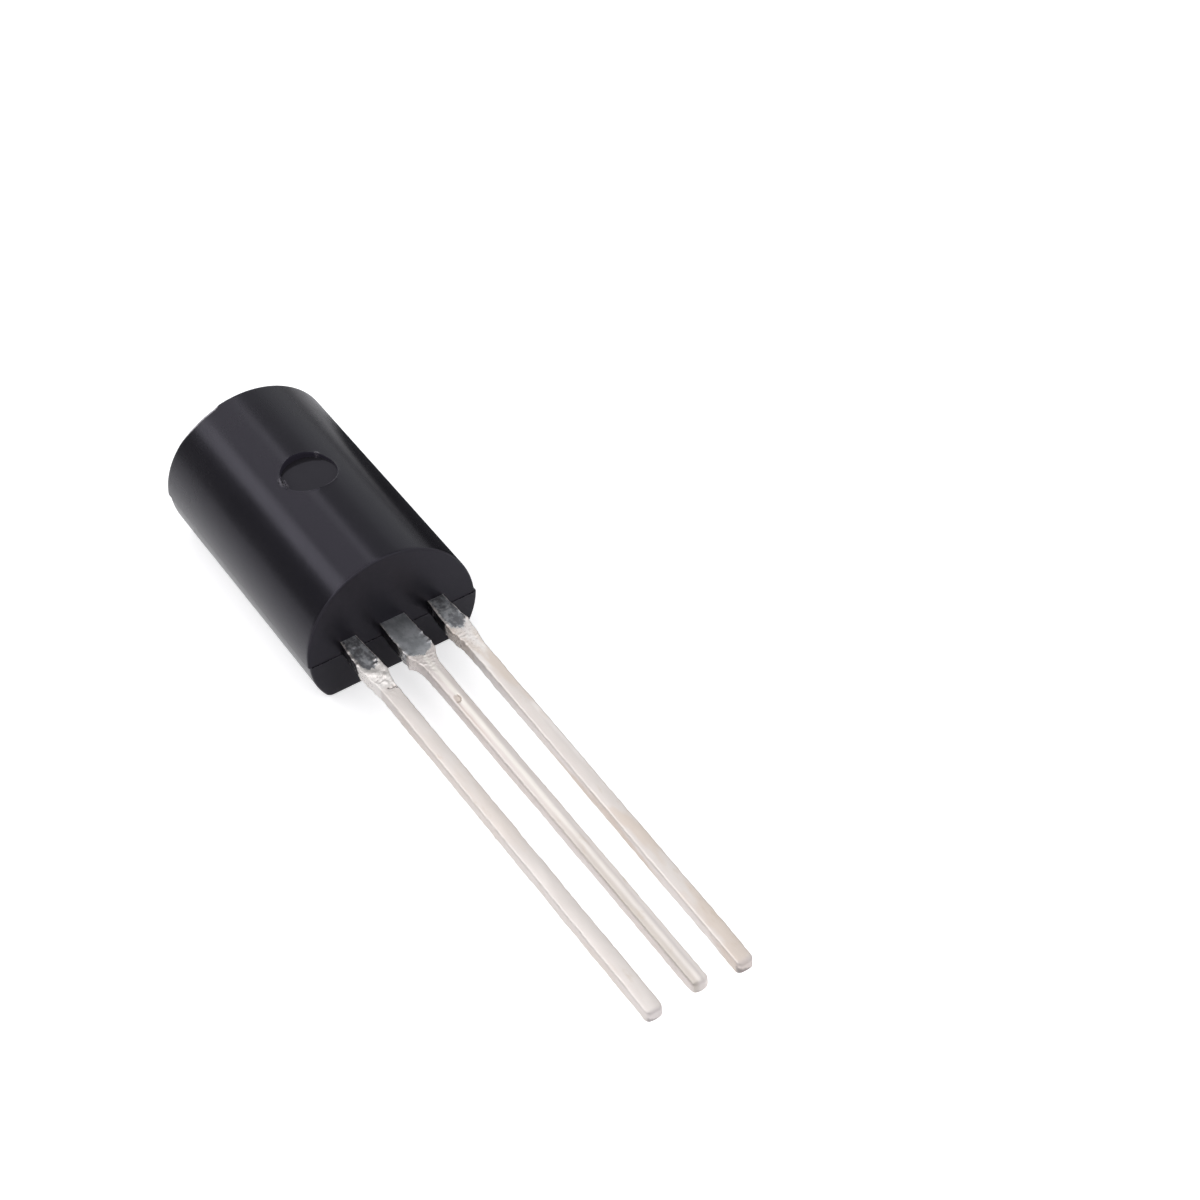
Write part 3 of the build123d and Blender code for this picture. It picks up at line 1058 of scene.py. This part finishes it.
def stamped(*outlines):
    """A flat plate between the lead's two faces, as points and faces in millimetres."""
    curve = bpy.data.curves.new("stamping", "CURVE")
    curve.dimensions = "2D"
    curve.fill_mode = "BOTH"
    curve.extrude = ((LEAD_TOP - LEAD_LOW) / 2 - ROLLED_EDGE) * MM
    curve.bevel_depth = ROLLED_EDGE * MM
    curve.bevel_resolution = 2
    curve.offset = -ROLLED_EDGE * MM
    for outline in outlines:
        spline = curve.splines.new("POLY")
        spline.points.add(len(outline) - 1)
        for point, (x, y) in zip(spline.points, outline):
            point.co = (x * MM, y * MM, 0.0, 1.0)
        spline.use_cyclic_u = True
    holder = bpy.data.objects.new("stamping", curve)
    mesh = bpy.data.meshes.new_from_object(holder)
    points = [(v.co.x / MM, v.co.y / MM, v.co.z / MM + MIDDLE_Z) for v in mesh.vertices]
    faces = [tuple(face.vertices) for face in mesh.polygons]
    bpy.data.objects.remove(holder)
    bpy.data.meshes.remove(mesh)
    return points, faces


paddle = stamped(rounded_rectangle(0, 0.80, 3.15, 3.40, 0.25), circle(0, 1.75, 0.35))
print("paddle plate:", len(paddle[0]), "points")

# %% [markdown]
# The plate and the skin of a lead overlap a little inside the body, where a strip of the
# root's width joins them. Beside each lead stand its place across, how much shorter it was
# cut than the longest, and the CAD node that it stands for.

# %% Make the three leads
def post(x):
    """The bond post of an outer lead and the strip that leads to it."""
    return [stamped(rounded_rectangle(x, -1.85, 1.05, 1.10, 0.12)),
            stamped(rounded_rectangle(x, -3.1, 0.42, 1.7, 0.05))]


PLATES = {
    "middle": [paddle, stamped(rounded_rectangle(0, -2.3, 0.68, 3.2, 0.05))],
    "emitter": post(PITCH),
    "base": post(-PITCH),
}
LEADS = {
    "middle": (MIDDLE_LEAD, 0.0, 0.11, "collector_lead"),
    "emitter": (EMITTER_LEAD, PITCH, 0.0, "emitter_lead"),
    "base": (BASE_LEAD, -PITCH, 0.04, "base_lead"),
}
for which, (lead, middle_x, short, node) in LEADS.items():
    skin = lead_skin(lead, middle_x, END_FACE - TIP - short, LUMPS[which])
    points, faces = joined(skin, *PLATES[which])
    piece = make_piece(which + "_lead_tinned", points, faces, tin, node, 40)
    print(which, "lead:", len(piece.data.polygons), "faces")

# %% [markdown]
# The floor is a plain pale sheet. The camera should see it pure white, yet the body must
# mirror a floor that is only lit by the lamps. Light Path tells the two apart: rays from the
# camera get plain glow on top, and the rest is matt and keeps the soft shadow. Mirror rays
# alone see painted reflections: a dark card painted on the right, which keeps that side of the
# glossy black body black, and painted glow on the left and in front. The sheet's colour is also
# painted darker far from the part, a painted pool of light round it.

# %% Floor
FLOOR_HALF = 0.6
floor_mesh = bpy.data.meshes.new("floor")
corners = [(-1, -1), (1, -1), (1, 1), (-1, 1)]
floor_mesh.from_pydata([(x * FLOOR_HALF, y * FLOOR_HALF, -1e-6) for x, y in corners],
                       [], [(0, 1, 2, 3)])
floor = bpy.data.objects.new("floor", floor_mesh)
bpy.context.scene.collection.objects.link(floor)

paper = Finish("floor_paper")
to_camera = paper.node("ShaderNodeLightPath", out="Is Camera Ray")
to_gloss = to_camera.out("Is Glossy Ray")
from_part = paper.node("ShaderNodeVectorMath", {"operation": "LENGTH"}, {0: paper.place}, "Value")
fibre = paper.grain(paper.place, 0.4, 3.0, 0.6)
# A painted reflection: mirror rays see a dark card here that is not in the scene.
painted_card_reflection = paper.x.rise(2.2, 3.0) * paper.y.rise(-3.0, -1.5)
painted_card_reflection *= (paper.y - paper.x * 0.72).rise(3.8, 2.2)
# The sheet is painted darker from 25 to 90 mm out, a painted pool of light round the part.
sheet = paper.layered(
    colour(0.79, 0.79, 0.80),
    ((0.81, 0.81, 0.82), fibre),
    ((0.40, 0.40, 0.41), from_part.rise(25.0, 90.0)),
    ((0.02, 0.02, 0.025), to_gloss * painted_card_reflection * 0.97),
)
# Painted glow that only mirror rays see: a brighter floor left of the body and in front of it.
painted_glow_left = paper.x.rise(2.0, 0.0) * (0.04 + paper.x.rise(-14.0, -3.0) * 0.38)
painted_glow_beside = paper.y.rise(-4.6, -3.0) * painted_glow_left
painted_glow_ahead = paper.y.rise(-4.8, -7.5) * 0.24
camera_glow = to_camera * (0.54 + from_part.rise(12.0, 30.0) * 0.8)
glow = camera_glow + to_gloss * paper.larger(painted_glow_beside, painted_glow_ahead)
paper.set(Base_Color=sheet, Roughness=0.9, Specular_IOR_Level=0.0, Emission_Strength=1.0,
          Emission_Color=paper.blend(colour(0, 0, 0), colour(1, 1, 1), glow))
floor_mesh.materials.append(paper.material)
print("floor is", FLOOR_HALF * 2, "m across")

# %% [markdown]
# Glossy black shows only what it mirrors, so the lamps are placed like the long soft boxes of
# a product table: strips along the part at chosen heights. Each is given by its angle round
# the part, its width as an angle and how bright it looks. An area lamp that looks as bright
# as 1 has pi watts for each square metre. A dim square one in front fills the round rims and
# the lead tips.

# %% Lamps
LAMP_DISTANCE = 0.25
STRIP_LENGTH = 0.9
STRIP_BACK = 0.30
STRIPS = [
    ("strip_left_high", 51.5, 20, 2.2, (1.0, 1.0, 1.0)),
    ("strip_top_left", 80, 30, 0.98, (1.0, 0.98, 1.0)),
    ("strip_top", 102, 10, 1.75, (1.0, 1.0, 1.0)),
    ("strip_top_right", 122, 22, 0.28, (0.98, 1.0, 1.0)),
    ("strip_right", 153, 38, 0.48, (0.96, 1.0, 1.0)),
]
FILL_PLACE = Vector((0.30, -0.80, 0.52)).normalized() * LAMP_DISTANCE * 1.2
FILL_SIZE = 0.26
FILL_LOOK = 0.62


def add_lamp(name, place, wide, long, look, tint, side):
    """An area lamp at a place in metres that looks at the part, its length along one side."""
    lamp = bpy.data.lights.new(name, "AREA")
    lamp.shape = "RECTANGLE"
    lamp.size, lamp.size_y = wide, long
    lamp.energy = look * pi * wide * long
    lamp.color = tint
    holder = bpy.data.objects.new(name, lamp)
    bpy.context.scene.collection.objects.link(holder)
    away = place.normalized()
    across_it = Vector(side).cross(away).normalized()
    turned = Matrix((across_it, away.cross(across_it), away)).transposed().to_4x4()
    holder.matrix_world = Matrix.Translation(place) @ turned
    return holder


add_lamp("fill_front", FILL_PLACE, FILL_SIZE, FILL_SIZE, FILL_LOOK, (1.0, 0.99, 1.0), (1, 0, 0))
for name, turn, spread, look, tint in STRIPS:
    a = radians(turn)
    place = Vector((-cos(a), 0.0, sin(a))) * LAMP_DISTANCE
    wide = 2 * LAMP_DISTANCE * tan(radians(spread / 2))
    strip = add_lamp(name, place, wide, STRIP_LENGTH, look, tint, (0, 1, 0))
    strip.location.y += STRIP_BACK
print("strips:", len(STRIPS))

# %% [markdown]
# The world outside the lamps is a dim grey room that fills the shadows. The camera alone
# sees it white, so that low views have a white background too.

# %% World
world = bpy.data.worlds.new("room")
world.use_nodes = True
bpy.context.scene.world = world
room = Board(world.node_tree)
seen = room.node("ShaderNodeLightPath", out="Is Camera Ray")
backdrop = world.node_tree.nodes["Background"]
room.feed(backdrop.inputs["Color"], room.blend(colour(0.28, 0.28, 0.29), colour(1, 1, 1), seen))
print("world ready")

# %% [markdown]
